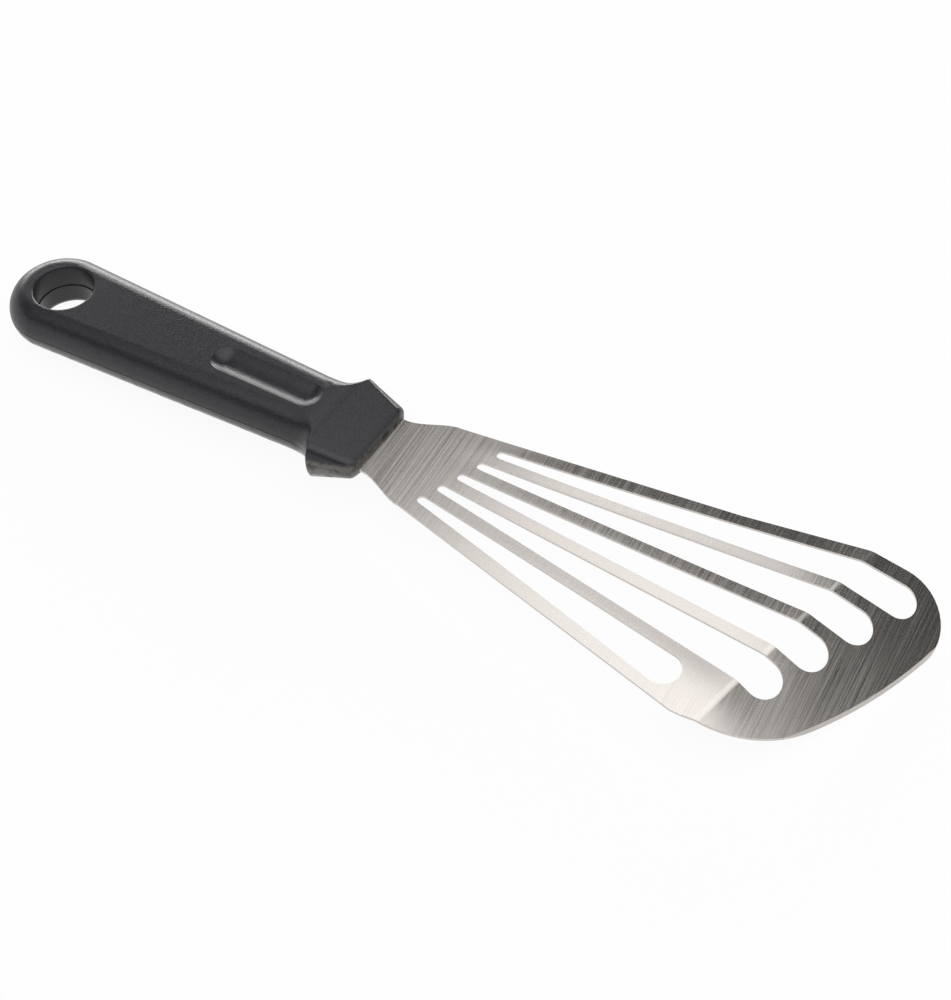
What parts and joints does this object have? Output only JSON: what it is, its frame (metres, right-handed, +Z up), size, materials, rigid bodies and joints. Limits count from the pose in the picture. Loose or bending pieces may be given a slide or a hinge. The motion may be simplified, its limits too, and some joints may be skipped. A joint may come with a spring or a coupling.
{
  "type": "fish_spatula",
  "caption": "Fish spatula with a slotted, flared stainless steel blade bent down at a crease near its tip and a dark one-piece plastic handle with a thumb groove and a hanging hole.",
  "frame": {"origin": "Middle of the part's bounding box in plan, on the surface that the spatula rests on.", "axes": "+X runs along the spatula from the handle to the blade's tip, +Z is up out of the handle's top face as it lies on a table, and +Y completes the right-handed frame, toward the blade's slightly wider side."},
  "size_m": [0.3072, 0.0802, 0.0212],
  "materials": {
    "brushed_steel_sheet": "brushed across the blade",
    "handle_plastic": "fine matte texture"
  },
  "bodies": {
    "root": {"blade": "brushed_steel_sheet", "handle": "handle_plastic"}
  },
  "joints": []
}
